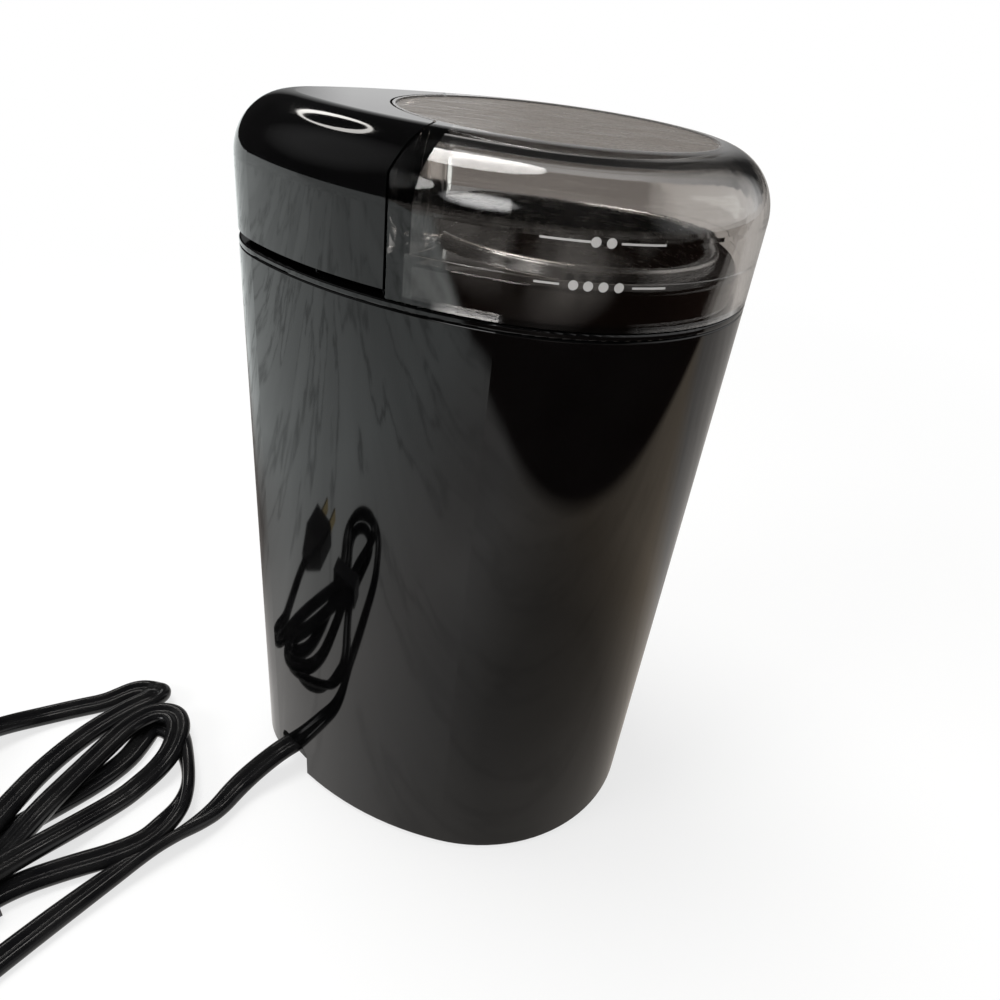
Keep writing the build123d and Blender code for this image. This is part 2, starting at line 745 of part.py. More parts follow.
# Windings: copper in the slots and a rounded bundle at each end of the core.
with BuildPart() as armature_winding:
    with BuildSketch(Plane.XY.offset(core_bottom)):
        with Locations((axis_x, 0)):
            with PolarLocations(slot_middle, core_slots):
                Rectangle(slot_length, slot_width)
    extrude(amount=core_length)
    for bundle_bottom, outer_face in ((core_bottom - winding_overhang, 0), (core_top, -1)):
        with BuildPart(mode=Mode.PRIVATE) as bundle:
            with Locations((axis_x, 0, bundle_bottom)):
                Cylinder(winding_radius, winding_overhang, align=seat)
            fillet(bundle.faces().sort_by(Axis.Z)[outer_face].edges(), winding_round)
            with Locations((axis_x, 0, bundle_bottom)):
                Cylinder(shaft_radius, winding_overhang, align=seat, mode=Mode.SUBTRACT)
        add(bundle.part)
write(armature_winding, "armature_winding")

with BuildPart() as commutator:
    with Locations((axis_x, 0, commutator_bottom)):
        Cylinder(commutator_radius, commutator_length, align=seat)
        Cylinder(shaft_radius, commutator_length, align=seat, mode=Mode.SUBTRACT)
        with PolarLocations(commutator_radius, core_slots):
            Box(2 * bar_depth, bar_gap, commutator_length, align=seat, mode=Mode.SUBTRACT)
write(commutator, "commutator")

with BuildPart() as cooling_fan:
    with Locations((axis_x, 0, fan_bottom)):
        Cylinder(fan_radius, fan_disc, align=seat)
        Cylinder(fan_hub, fan_height, align=seat)
        with PolarLocations(0, fan_blades):
            Box(
                fan_radius - edge_round,
                fan_blade_thickness,
                fan_height,
                align=(Align.MIN, Align.CENTER, Align.MIN),
            )
        Cylinder(shaft_radius, fan_height, align=seat, mode=Mode.SUBTRACT)
write(cooling_fan, "cooling_fan")

# ================================================================ stator
bore_radius = core_radius + air_gap
window_width = stator_width - 2 * yoke
window_depth = stator_depth - 2 * yoke

with BuildSketch() as pole_shoes:
    with Locations((axis_x, 0)):
        Circle(bore_radius + shoe_thickness)
        Rectangle(2 * shoe_half, stator_depth, mode=Mode.INTERSECT)

with BuildPart() as stator_core:
    with BuildSketch(Plane.XY.offset(core_bottom)):
        with Locations((axis_x, 0)):
            RectangleRounded(stator_width, stator_depth, stator_corner)
            RectangleRounded(window_width, window_depth, window_corner, mode=Mode.SUBTRACT)
            Rectangle(pole_width, window_depth)
        add(pole_shoes.sketch)
        with Locations((axis_x, 0)):
            Circle(bore_radius, mode=Mode.SUBTRACT)
        with Locations((axis_x - bolt_x, 0), (axis_x + bolt_x, 0)):
            Circle(bolt_radius, mode=Mode.SUBTRACT)
    extrude(amount=core_length)
write(stator_core, "stator_core")

# Two field coils, each a rounded loop round the neck of its pole.
coil_opening = pole_width + 2 * coil_play
coil_height = core_length + 2 * coil_play
coil_middle = core_bottom + core_length / 2
with BuildPart() as field_coils:
    for side in (1, -1):
        coil_back = (axis_x, side * (window_depth / 2 - coil_play), coil_middle)
        with BuildSketch(Plane(origin=coil_back, x_dir=(1, 0, 0), z_dir=(0, -side, 0))):
            RectangleRounded(coil_opening + 2 * coil_side, coil_height + 2 * coil_side, coil_side)
            Rectangle(coil_opening, coil_height, mode=Mode.SUBTRACT)
        extrude(amount=coil_thickness)
write(field_coils, "field_coils")

# ================================================================ motor brackets
# Upper bracket: hub for the top bearing, three arms to the rubber mounts, and two pillars that
# stand on the stator.
with BuildPart() as upper_bracket:
    with BuildSketch(Plane.XY.offset(upper_plate_bottom)):
        with Locations((axis_x, 0)):
            Circle(upper_hub_radius + bracket_plate)
            SlotCenterToCenter(2 * bolt_x, bridge_width)
        with Locations([Location((axis_x, 0, 0), (0, 0, angle)) for angle in mount_angles]):
            SlotCenterPoint((mount_reach / 2, 0), (mount_reach, 0), arm_width)
    extrude(amount=bracket_plate)
    with Locations((axis_x, 0, upper_plate_bottom)):
        Cylinder(upper_hub_radius, upper_hub_top - upper_plate_bottom, align=seat)
        Cylinder(shaft_radius + play, upper_hub_top - upper_plate_bottom, align=seat, mode=Mode.SUBTRACT)
    with Locations((axis_x, 0, upper_bush_bottom)):
        Cylinder(bush_radius, bush_length, align=seat, mode=Mode.SUBTRACT)
    with Locations((axis_x - bolt_x, 0, core_top), (axis_x + bolt_x, 0, core_top)):
        Cylinder(pillar_radius, upper_plate_bottom - core_top, align=seat)
        Cylinder(bolt_radius, upper_plate_top - core_top, align=seat, mode=Mode.SUBTRACT)
    with Locations([(x, y, upper_plate_bottom) for x, y in mount_spots]):
        Cylinder(screw_radius, bracket_plate, align=seat, mode=Mode.SUBTRACT)
write(upper_bracket, "upper_bracket")

# Lower bracket: a cross that carries the brush holders, with pillars up to the stator.
with BuildPart() as lower_bracket:
    with BuildSketch(Plane.XY.offset(lower_plate_bottom)):
        with Locations((axis_x, 0)):
            Circle(lower_hub_radius + bracket_plate)
            SlotCenterToCenter(2 * bolt_x, bridge_width)
            SlotCenterToCenter(2 * bolt_x, bridge_width, rotation=90)
    extrude(amount=bracket_plate)
    with Locations((axis_x, 0, lower_hub_bottom)):
        Cylinder(lower_hub_radius, lower_plate_top - lower_hub_bottom, align=seat)
        Cylinder(shaft_radius + play, lower_plate_top - lower_hub_bottom, align=seat, mode=Mode.SUBTRACT)
        Cylinder(bush_radius, bush_length, align=seat, mode=Mode.SUBTRACT)
    with Locations((axis_x - bolt_x, 0, lower_plate_top), (axis_x + bolt_x, 0, lower_plate_top)):
        Cylinder(pillar_radius, core_bottom - lower_plate_top, align=seat)
    with Locations((axis_x - bolt_x, 0, core_bottom), (axis_x + bolt_x, 0, core_bottom)):
        Cylinder(bolt_radius, core_bottom - lower_plate_bottom, align=hang, mode=Mode.SUBTRACT)
write(lower_bracket, "lower_bracket")

for label, bottom in (("upper_bush", upper_bush_bottom), ("lower_bush", lower_hub_bottom)):
    with BuildPart() as bush:
        with Locations((axis_x, 0, bottom)):
            Cylinder(bush_radius, bush_length, align=seat)
            Cylinder(shaft_radius + running, bush_length, align=seat, mode=Mode.SUBTRACT)
    write(bush, label)

# Two long bolts clamp the stator between the brackets.
with BuildPart() as through_bolts:
    with Locations((axis_x - bolt_x, 0, lower_plate_bottom), (axis_x + bolt_x, 0, lower_plate_bottom)):
        Cylinder(bolt_radius, upper_plate_top - lower_plate_bottom, align=seat)
        Cylinder(screw_head, screw_head_height, align=hang)
write(through_bolts, "through_bolts")

with BuildPart() as rubber_mounts:
    with Locations([(x, y, upper_plate_top) for x, y in mount_spots]):
        Cylinder(mount_radius, mount_thickness, align=seat)
        Cylinder(screw_radius, mount_thickness, align=seat, mode=Mode.SUBTRACT)
write(rubber_mounts, "rubber_mounts")

with BuildPart() as mount_screws:
    with Locations([(x, y, upper_plate_bottom) for x, y in mount_spots]):
        Cylinder(screw_head, screw_head_height, align=hang)
        Cylinder(pilot_radius, post_bottom + mount_screw_grip - upper_plate_bottom, align=seat)
write(mount_screws, "mount_screws")

# ================================================================ brushes
# Each side: a moulded holder standing on the lower bracket, a square carbon and its spring.
holder_start = commutator_radius + holder_gap
holder_side = brush_size + 2 * brush_wall
spring_start = commutator_radius + running + brush_length
spring_room = holder_start + holder_length - spring_start

with BuildPart() as brush_holders:
    for side in (1, -1):
        radial = Plane(origin=(axis_x, 0, brush_axis), x_dir=(1, 0, 0), z_dir=(0, side, 0))
        with BuildSketch(radial.offset(holder_start)):
            Rectangle(holder_side, holder_side)
        extrude(amount=holder_length + brush_wall)
        with BuildSketch(radial.offset(holder_start)):
            Rectangle(brush_size, brush_size)
        extrude(amount=holder_length, mode=Mode.SUBTRACT)
        with Locations((axis_x, side * (holder_start + holder_length / 2), lower_plate_top)):
            stand_height = brush_axis - holder_side / 2 - lower_plate_top
            Box(brush_size, holder_length / 2, stand_height, align=seat)
write(brush_holders, "brush_holders")

with BuildPart() as carbon_brushes:
    for side in (1, -1):
        radial = Plane(origin=(axis_x, 0, brush_axis), x_dir=(1, 0, 0), z_dir=(0, side, 0))
        with BuildSketch(radial.offset(commutator_radius + running)):
            Rectangle(brush_size, brush_size)
        extrude(amount=brush_length)
write(carbon_brushes, "carbon_brushes")

with BuildPart() as brush_springs:
    for side in (1, -1):
        foot = (axis_x, side * (spring_start + brush_spring_wire / 2), brush_axis)
        spring_length = spring_room - brush_spring_wire
        with BuildLine():
            coil = Helix(brush_spring_pitch, spring_length, brush_spring_radius, foot, (0, side, 0))
        with BuildSketch(Plane(origin=coil @ 0, z_dir=coil % 0)):
            RegularPolygon(brush_spring_wire / 2, spring_sides)
        sweep(path=coil)
write(brush_springs, "brush_springs")

# ================================================================ base
# Base plate inside the housing's lower edge: air vents, recesses for the feet, a tower that
# holds the lower bearing in rubber, and two posts for the cord clamp.
with BuildPart() as base_plate:
    with BuildSketch(Plane.XY.offset(base_bottom)):
        add(egg(base_inset))
    extrude(amount=base_thickness)
    with Locations((axis_x, 0, base_top)):
        Cylinder(tower_radius, tower_top - base_top, align=seat)
    with Locations((axis_x, 0, base_bottom)):
        Cylinder(tower_radius - tower_wall, tower_floor - base_bottom, align=seat, mode=Mode.SUBTRACT)
        Cylinder(shaft_radius + play, tower_top, align=seat, mode=Mode.SUBTRACT)
    with Locations((axis_x, 0, tower_floor + base_thickness)):
        Cylinder(tower_radius - tower_wall, tower_top, align=seat, mode=Mode.SUBTRACT)
    with Locations([(spot.X, spot.Y, base_top) for spot in clamp_spots]):
        Cylinder(clamp_post_radius, cord_height, align=seat)
        Cylinder(pilot_radius, cord_height, align=seat, mode=Mode.SUBTRACT)
    with Locations([(x, y, base_bottom) for x, y, heading in boss_spots]):
        Cylinder(screw_radius, base_thickness, align=seat, mode=Mode.SUBTRACT)
        Cylinder(screw_head + slip, screw_head_height, align=seat, mode=Mode.SUBTRACT)
    with Locations([(x, y, base_bottom) for x, y in foot_spots]):
        Cylinder(foot_radius, foot_recess, align=seat, mode=Mode.SUBTRACT)
        Cylinder(peg_radius, base_thickness, align=seat, mode=Mode.SUBTRACT)
    with BuildSketch(Plane.XY.offset(base_bottom)):
        with Locations((axis_x, vent_y), (axis_x, -vent_y)):
            with GridLocations(vent_length, vent_pitch, 1, vent_rows):
                SlotOverall(vent_length, vent_width)
    extrude(amount=base_thickness, mode=Mode.SUBTRACT)
write(base_plate, "base_plate")

with BuildPart() as rubber_feet:
    with Locations([(x, y, 0) for x, y in foot_spots]):
        Cylinder(foot_radius, base_bottom + foot_recess, align=seat)
    chamfer(rubber_feet.faces().group_by(Axis.Z)[0].edges(), edge_round)
    with Locations([(x, y, 0) for x, y in foot_spots]):
        Cylinder(peg_radius, base_top, align=seat)
    with Locations([(x, y, base_top) for x, y in foot_spots]):
        Cone(peg_head, peg_point, peg_head_height, align=seat)
write(rubber_feet, "rubber_feet")

with BuildPart() as base_screws:
    with Locations([(x, y, base_bottom) for x, y, heading in boss_spots]):
        Cylinder(screw_head, screw_head_height, align=seat)
        Cylinder(pilot_radius, base_screw_length, align=seat)
write(base_screws, "base_screws")

cushion_bottom = tower_floor + base_thickness
with BuildPart() as bearing_cushion:
    with Locations((axis_x, 0, cushion_bottom)):
        Cylinder(tower_radius - tower_wall, tower_top - cushion_bottom, align=seat)
        Cylinder(shaft_radius + play, tower_top - cushion_bottom, align=seat, mode=Mode.SUBTRACT)
    with Locations((axis_x, 0, lower_hub_bottom)):
        Cylinder(lower_hub_radius, tower_top - lower_hub_bottom, align=seat, mode=Mode.SUBTRACT)
write(bearing_cushion, "bearing_cushion")

# ================================================================ cord clamp
clamp_bottom = base_top + cord_height
with BuildPart() as cord_clamp:
    with BuildSketch(Plane.XY.offset(clamp_bottom)):
        with Locations(Location(clamp_centre, (0, 0, exit_angle + 90))):
            SlotCenterToCenter(2 * clamp_half, clamp_width)
        with Locations([(spot.X, spot.Y) for spot in clamp_spots]):
            Circle(pilot_radius, mode=Mode.SUBTRACT)
    extrude(amount=clamp_bar)
write(cord_clamp, "cord_clamp")

with BuildPart() as clamp_screws:
    with Locations([(spot.X, spot.Y, clamp_bottom + clamp_bar) for spot in clamp_spots]):
        Cylinder(screw_head, screw_head_height, align=seat)
        Cylinder(pilot_radius, clamp_bar + cord_height, align=hang)
write(clamp_screws, "clamp_screws")


# ================================================================ supply cord
# Flat twin lead: out of the clamp, down to the surface and along it into a tied hank; the other
# end leaves the hank for the plug.
def bend_radii(route):
    """Radius of each bend, from the shorter of its two runs and the angle between them."""
    radii = []
    for before, corner, after in zip(route, route[1:], route[2:]):
        coming = Vector(*corner) - Vector(*before)
        going = Vector(*after) - Vector(*corner)
        half_turn = radians(coming.get_angle(going)) / 2
        radii.append(bend_share * min(coming.length, going.length) / tan(half_turn))
    return radii


section_area = (cord_width - cord_height) * cord_height + pi * cord_height**2 / 4
for label, route in (("supply_cord", cord_route), ("plug_lead", lead_route)):
    radii = bend_radii(route)
    with BuildPart() as cord:
        with BuildLine() as line:
            FilletPolyline(*route, radius=radii)
        path = line.wires()[0]
        level = Vector(0, 0, 1).cross(path % 0)
        with BuildSketch(Plane(origin=path @ 0, x_dir=level, z_dir=path % 0)):
            SlotOverall(cord_width, cord_height)
        sweep(path=path)
    print(label, "bend radii", [round(radius) for radius in radii])
    print(label, "volume", round(cord.part.volume), "section times length", round(section_area * path.length))
    write(cord, label)

# The hank: two lobes of loops drawn together by the tie, as one closed solid of outer shape.
hank_plane = Plane(
    origin=(tie_x, tie_y, tie_sheet),
    x_dir=(cos(radians(hank_heading)), sin(radians(hank_heading)), 0),
    z_dir=(0, 0, 1),
)
with BuildPart() as cord_hank:
    for lobe in (near_lobe, far_lobe):
        with BuildSketch(hank_plane):
            Circle(hank_waist)
            for along, across, radius in lobe:
                with Locations((along, across)):
                    Circle(radius)
            make_hull()
        extrude(amount=hank_height)
    fillet(cord_hank.faces().sort_by(Axis.Z)[-1].edges(), hank_round)
write(cord_hank, "cord_hank")

with BuildPart() as hank_tie:
    with BuildSketch(Plane(origin=(tie_x, tie_y, 0), x_dir=hank_plane.y_dir, z_dir=hank_plane.x_dir)):
        with Locations((0, tie_sheet + hank_height / 2)):
            Rectangle(2 * hank_waist + 2 * tie_sheet, hank_height + 2 * tie_sheet)
            Rectangle(2 * hank_waist, hank_height, mode=Mode.SUBTRACT)
    extrude(amount=tie_width / 2, both=True)
write(hank_tie, "hank_tie")

# ================================================================ plug
# Moulded two-pin plug: a neck that flares into the grip, and two flat pins.
plug_end = Vector(*lead_route[-1])
plug_out = hank_plane.x_dir
plug_side = Vector(-plug_out.Y, plug_out.X, 0)
plug_back = Plane(
    origin=(plug_end.X, plug_end.Y, plug_height / 2), x_dir=plug_side, z_dir=plug_out
).offset(-lead_depth)

with BuildPart() as plug_body:
    with BuildSketch(plug_back):
        RectangleRounded(plug_neck_width, plug_neck_height, plug_round)
    with BuildSketch(plug_back.offset(plug_neck_length)):
        RectangleRounded(plug_width, plug_height, plug_round)
    loft()
    with BuildSketch(plug_back.offset(plug_neck_length)):
        RectangleRounded(plug_width, plug_height, plug_round)
    extrude(amount=plug_body_length)
    plug_front = plug_body.faces().sort_by(Axis(plug_end, plug_out))[-1]
    fillet(plug_front.edges(), edge_round)
write(plug_body, "plug_body")

with BuildPart() as plug_pins:
    with BuildSketch(plug_back.offset(plug_neck_length + plug_body_length - pin_root)):
        with Locations((pin_spacing / 2, 0), (-pin_spacing / 2, 0)):
            Rectangle(pin_thickness, pin_width)
    extrude(amount=pin_length + pin_root)
write(plug_pins, "plug_pins")
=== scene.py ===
from math import cos, pi, radians, sin

import bpy
from mathutils import Matrix, Vector


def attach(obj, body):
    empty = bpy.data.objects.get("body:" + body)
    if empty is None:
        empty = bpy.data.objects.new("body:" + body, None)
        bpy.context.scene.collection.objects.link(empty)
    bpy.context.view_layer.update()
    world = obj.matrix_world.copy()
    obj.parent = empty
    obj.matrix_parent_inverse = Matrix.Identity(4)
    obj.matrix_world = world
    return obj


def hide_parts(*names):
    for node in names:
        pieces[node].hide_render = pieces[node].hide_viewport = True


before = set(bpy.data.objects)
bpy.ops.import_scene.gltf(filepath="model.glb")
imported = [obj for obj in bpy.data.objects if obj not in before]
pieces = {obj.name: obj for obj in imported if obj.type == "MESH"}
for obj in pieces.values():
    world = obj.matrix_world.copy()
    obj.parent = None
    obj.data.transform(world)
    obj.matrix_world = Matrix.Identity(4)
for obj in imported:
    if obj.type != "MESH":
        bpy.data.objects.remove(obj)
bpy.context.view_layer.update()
scene = bpy.context.scene
scene.view_settings.view_transform = "Standard"

# ---------------------------------------------------------------- view
# Hand-held view from above and in front, tipped a little to the side, through a wide lens.
# The frame is square.
eye = Vector((-0.0085, -0.1783, 0.19665))
heading = radians(-5.34)
dip = radians(31.92)
lean = radians(-7.56)
lens_length = 28.18         # in mm
nearest_seen = 0.01

look = Vector((-sin(heading) * cos(dip), cos(heading) * cos(dip), -sin(dip)))
skyline = look.cross(Vector((0, 0, 1))).normalized()
fall = look.cross(skyline)
rightward = cos(lean) * skyline + sin(lean) * fall
downward = cos(lean) * fall - sin(lean) * skyline

camera = bpy.data.objects.new("view", bpy.data.cameras.new("view"))
camera.data.lens = lens_length
camera.data.clip_start = nearest_seen
camera.matrix_world = Matrix.Translation(eye) @ Matrix((rightward, -downward, -look)).transposed().to_4x4()
scene.collection.objects.link(camera)
scene.camera = camera

# ---------------------------------------------------------------- supply cord
# Flat twin lead: black PVC over two stranded cores, with a ridge along one core. It leaves the
# housing through the notch, runs along the table, and is folded into a hank under a tie.
cord_thickness = 0.0035
cord_width = 0.0070
section_sweep = 148         # degrees of each core's round side, from its outermost point
section_steps = 16
ridge_steps = (4, 6)
ridge_height = 0.00016
grain_to_cloud = 9          # a finish's clouds are that many grains wide
cord_black = (0.0035, 0.0035, 0.004)
cord_bloom = (0.009, 0.0088, 0.0088)
cord_start = [      # places from the clamp to the hank, then the cord's tilt
    (-0.0310, -0.0080, 0.00625, 0),
    (-0.0385, -0.0155, 0.0082, 0),
    (-0.0460, -0.0220, 0.0090, 0),
    (-0.0530, -0.0275, 0.0058, 0),
    (-0.0580, -0.0330, 0.0036, 0),
    (-0.0618, -0.0400, 0.0025, 14),
    (-0.0655, -0.0450, 0.0030, 35),
    (-0.0700, -0.0495, 0.0035, 58),
    (-0.0755, -0.0540, 0.0032, 45),
    (-0.0830, -0.0615, 0.0024, 15),
    (-0.0950, -0.0760, 0.0018, 0),
    (-0.1070, -0.0925, 0.0018, 0),
    (-0.1184, -0.1030, 0.0018, 0),
]
tie = Vector((-0.1164, -0.0655, 0))
hank_heading = radians(-130)
hank_turns = [      # along the hank, across it and height, from the tie; then the cord's tilt
    # far lobe, outer turn
    (0.0440, 0.0195, 0.0018, 0),
    (0.0540, 0.0100, 0.0018, 0),
    (0.0560, -0.0040, 0.0018, 0),
    (0.0490, -0.0160, 0.0018, 0),
    (0.0350, -0.0195, 0.0018, 0),
    (0.0190, -0.0140, 0.0022, 0),
    (0.0050, -0.0078, 0.0026, 0),
    (-0.0090, -0.0072, 0.0026, 0),
    # near lobe, wide turn on the table
    (-0.0240, -0.0068, 0.0020, 0),
    (-0.0370, -0.0060, 0.0018, 0),
    (-0.0467, -0.0070, 0.0018, 0),
    (-0.0534, -0.0102, 0.0018, 0),
    (-0.0582, -0.0132, 0.0018, 0),
    (-0.0608, -0.0115, 0.0018, 0),
    (-0.0618, -0.0070, 0.0024, 15),
    (-0.0610, -0.0010, 0.0032, 50),
    (-0.0582, 0.0062, 0.0036, 78),
    (-0.0548, 0.0120, 0.0036, 78),
    (-0.0512, 0.0158, 0.0034, 55),
    (-0.0475, 0.0181, 0.0027, 25),
    (-0.0418, 0.0198, 0.0028, 0),
    (-0.0364, 0.0204, 0.0026, 0),
    (-0.0290, 0.0180, 0.0026, 0),
    (-0.0200, 0.0130, 0.0022, 0),
    (-0.0080, 0.0082, 0.0026, 0),
    # far lobe, inner turn
    (0.0050, 0.0076, 0.0026, 0),
    (0.0180, 0.0100, 0.0020, 0),
    (0.0310, 0.0130, 0.0018, 0),
    (0.0420, 0.0100, 0.0018, 0),
    (0.0470, 0.0000, 0.0018, 0),
    (0.0410, -0.0100, 0.0018, 0),
    (0.0280, -0.0105, 0.0022, 0),
    (0.0130, -0.0040, 0.0026, 0),
    (0.0000, 0.0000, 0.0026, 0),
    # near lobe, turn on top of the wide one
    (-0.0100, -0.0005, 0.0034, 0),
    (-0.0220, -0.0050, 0.0054, 0),
    (-0.0340, -0.0090, 0.0054, 0),
    (-0.0440, -0.0124, 0.0053, 0),
    (-0.0512, -0.0148, 0.0053, 0),
    (-0.0558, -0.0150, 0.0056, 0),
    (-0.0606, -0.0140, 0.0060, 0),
    (-0.0641, -0.0095, 0.0060, 0),
    (-0.0627, -0.0046, 0.0060, 0),
    (-0.0594, -0.0009, 0.0058, 0),
    (-0.0556, 0.0020, 0.0053, 0),
    (-0.0508, 0.0036, 0.0043, 0),
    (-0.0454, 0.0037, 0.0028, 0),
    (-0.0390, 0.0040, 0.0020, 0),
    (-0.0270, 0.0042, 0.0036, 0),
    (-0.0140, 0.0044, 0.0056, 0),
    (0.0000, 0.0039, 0.0062, 0),
    # far lobe, top turn
    (0.0140, 0.0060, 0.0060, 0),
    (0.0280, 0.0105, 0.0054, 0),
    (0.0420, 0.0150, 0.0054, 0),
    (0.0510, 0.0080, 0.0054, 0),
    (0.0520, -0.0060, 0.0054, 0),
    (0.0420, -0.0150, 0.0054, 0),
    (0.0270, -0.0140, 0.0054, 0),
    (0.0120, -0.0060, 0.0060, 0),
    (-0.0020, -0.0039, 0.0062, 0),
    # near lobe, last turn, folded back under itself and out to the plug
    (-0.0160, -0.0110, 0.0060, 0),
    (-0.0290, -0.0175, 0.0053, 0),
    (-0.0430, -0.0208, 0.0053, 0),
    (-0.0540, -0.0212, 0.0053, 0),
    (-0.0590, -0.0208, 0.0053, 0),
    (-0.0640, -0.0198, 0.0052, 0),
    (-0.0668, -0.0212, 0.0042, 0),
    (-0.0665, -0.0238, 0.0034, 0),
    (-0.0662, -0.0265, 0.0020, 0),
    (-0.0645, -0.0290, 0.0018, 0),
    (-0.0618, -0.0303, 0.0018, 0),
    (-0.0584, -0.0308, 0.0018, 0),
]
cord_end = [
    (-0.1060, -0.0040, 0.0018),
    (-0.1130, -0.0068, 0.0018),
    (-0.1210, -0.0110, 0.0023),
    (-0.1285, -0.0165, 0.0042),
    (-0.1340, -0.0228, 0.0064),
    (-0.1375, -0.0272, 0.0070),
]


def from_tie(along, across, height):
    """A place in the hank, given from its tie."""
    forward = Vector((cos(hank_heading), sin(hank_heading), 0))
    sideways = Vector((-forward.y, forward.x, 0))
    return tie + along * forward + across * sideways + Vector((0, 0, height))


def new_finish(name):
    """A node material under that name, with its nodes, links and surface shader."""
    finish = bpy.data.materials.new(name)
    finish.use_nodes = True
    tree = finish.node_tree
    return finish, tree.nodes, tree.links, tree.nodes["Principled BSDF"]


def grain_field(nodes, links, size, stretch=(1, 1, 1), detail=3, shift=0.0):
    """Noise with lumps of that size in metres, fixed to the piece, drawn out along an axis."""
    place = nodes.new("ShaderNodeTexCoord")
    fit = nodes.new("ShaderNodeMapping")
    fit.inputs["Location"].default_value = (shift, shift, shift)
    fit.inputs["Scale"].default_value = stretch
    field = nodes.new("ShaderNodeTexNoise")
    field.inputs["Scale"].default_value = 1 / size
    field.inputs["Detail"].default_value = detail
    links.new(place.outputs["Object"], fit.inputs["Vector"])
    links.new(fit.outputs["Vector"], field.inputs["Vector"])
    return field.outputs["Fac"]


def spread(nodes, links, field, low, high, start=0.3, stop=0.7):
    """Turns a field into a value from low to high."""
    span = nodes.new("ShaderNodeMapRange")
    span.inputs["From Min"].default_value = start
    span.inputs["From Max"].default_value = stop
    span.inputs["To Min"].default_value = low
    span.inputs["To Max"].default_value = high
    links.new(field, span.inputs["Value"])
    return span.outputs["Result"]


def tones(nodes, links, field, dark, light):
    """Blends two tones by a field."""
    blend = nodes.new("ShaderNodeMix")
    blend.data_type = "RGBA"
    blend.inputs["A"].default_value = (*dark, 1)
    blend.inputs["B"].default_value = (*light, 1)
    links.new(spread(nodes, links, field, 0, 1), blend.inputs["Factor"])
    return blend.outputs["Result"]


def relief(nodes, links, surface, field, depth):
    """Raises the surface by a field, depth in metres from trough to crest."""
    bump = nodes.new("ShaderNodeBump")
    bump.inputs["Strength"].default_value = 1
    bump.inputs["Distance"].default_value = depth
    links.new(field, bump.inputs["Height"])
    links.new(bump.outputs["Normal"], surface.inputs["Normal"])


def grained_finish(name, dark, light, rough, grain, depth, metal=0, stretch=(1, 1, 1)):
    """Moulded, cast or drawn material: cloudy tone and gloss, with a fine grain in relief."""
    finish, nodes, links, surface = new_finish(name)
    cloud = grain_field(nodes, links, grain * grain_to_cloud, stretch)
    fine = grain_field(nodes, links, grain, stretch, detail=2, shift=0.31)
    links.new(tones(nodes, links, cloud, dark, light), surface.inputs["Base Color"])
    links.new(spread(nodes, links, cloud, *rough), surface.inputs["Roughness"])
    relief(nodes, links, surface, fine, depth)
    surface.inputs["Metallic"].default_value = metal
    return finish


def dress(finish, *names):
    """Gives CAD pieces their finish."""
    for name in names:
        pieces[name].data.materials.clear()
        pieces[name].data.materials.append(finish)


cord_finish = grained_finish(
    "cord_pvc",
    dark=cord_black,
    light=cord_bloom,
    rough=(0.14, 0.24),
    grain=0.0009,
    depth=0.00001,
)

profile = bpy.data.curves.new("cord_section", "CURVE")
profile.dimensions = "2D"
outline = profile.splines.new("POLY")
core = cord_thickness / 2
offset = cord_width / 2 - core
section = []
for side in (1, -1):
    for step in range(section_steps + 1):
        turn = radians(section_sweep * (2 * step / section_steps - 1))
        ridge = ridge_height if side == 1 and step in ridge_steps else 0
        reach = core + ridge - ridge_height
        section.append((side * (offset + reach * cos(turn)), side * reach * sin(turn)))
outline.points.add(len(section) - 1)
for point, (across, up) in zip(outline.points, section):
    point.co = (across, up, 0, 1)
outline.use_cyclic_u = True
section_object = bpy.data.objects.new("cord_section", profile)
section_object.hide_render = True
scene.collection.objects.link(section_object)

line = bpy.data.curves.new("power_cord", "CURVE")
line.dimensions = "3D"
line.twist_mode = "Z_UP"
line.resolution_u = 8
line.bevel_mode = "OBJECT"
line.bevel_object = section_object
line.use_fill_caps = True
run = line.splines.new("NURBS")
route = [(Vector(place), radians(tilt)) for *place, tilt in cord_start]
route += [(from_tie(*turn[:3]), radians(turn[3])) for turn in hank_turns]
route += [(Vector(place), 0) for place in cord_end]
run.points.add(len(route) - 1)
for point, (place, tilt) in zip(run.points, route):
    point.co = (*place, 1)
    point.tilt = tilt
run.order_u = 3
run.use_endpoint_u = True
power_cord = bpy.data.objects.new("power_cord", line)
scene.collection.objects.link(power_cord)
line.materials.append(cord_finish)
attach(power_cord, "base")
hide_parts("supply_cord", "cord_hank", "plug_lead")

# ---------------------------------------------------------------- tie and plug
# Moulded tie round the waist of the hank. The plug is moulded on the cord in the same PVC, a
# little duller, with two brass blades.
tie_finish = grained_finish(
    "tie_nylon",
    dark=(0.015, 0.015, 0.016),
    light=(0.028, 0.028, 0.030),
    rough=(0.30, 0.45),
    grain=0.0008,
    depth=0.00003,
)
plug_finish = grained_finish(
    "plug_pvc",
    dark=(0.014, 0.014, 0.015),
    light=(0.026, 0.025, 0.025),
    rough=(0.34, 0.5),
    grain=0.0006,
    depth=0.00003,
)
pin_finish = grained_finish(
    "pin_brass",
    dark=(0.78, 0.60, 0.30),
    light=(0.86, 0.70, 0.40),
    rough=(0.18, 0.32),
    grain=0.0004,
    depth=0.000004,
    metal=1,
    stretch=(1, 1, 6),
)
dress(tie_finish, "hank_tie")
dress(plug_finish, "plug_body")
dress(pin_finish, "plug_pins")

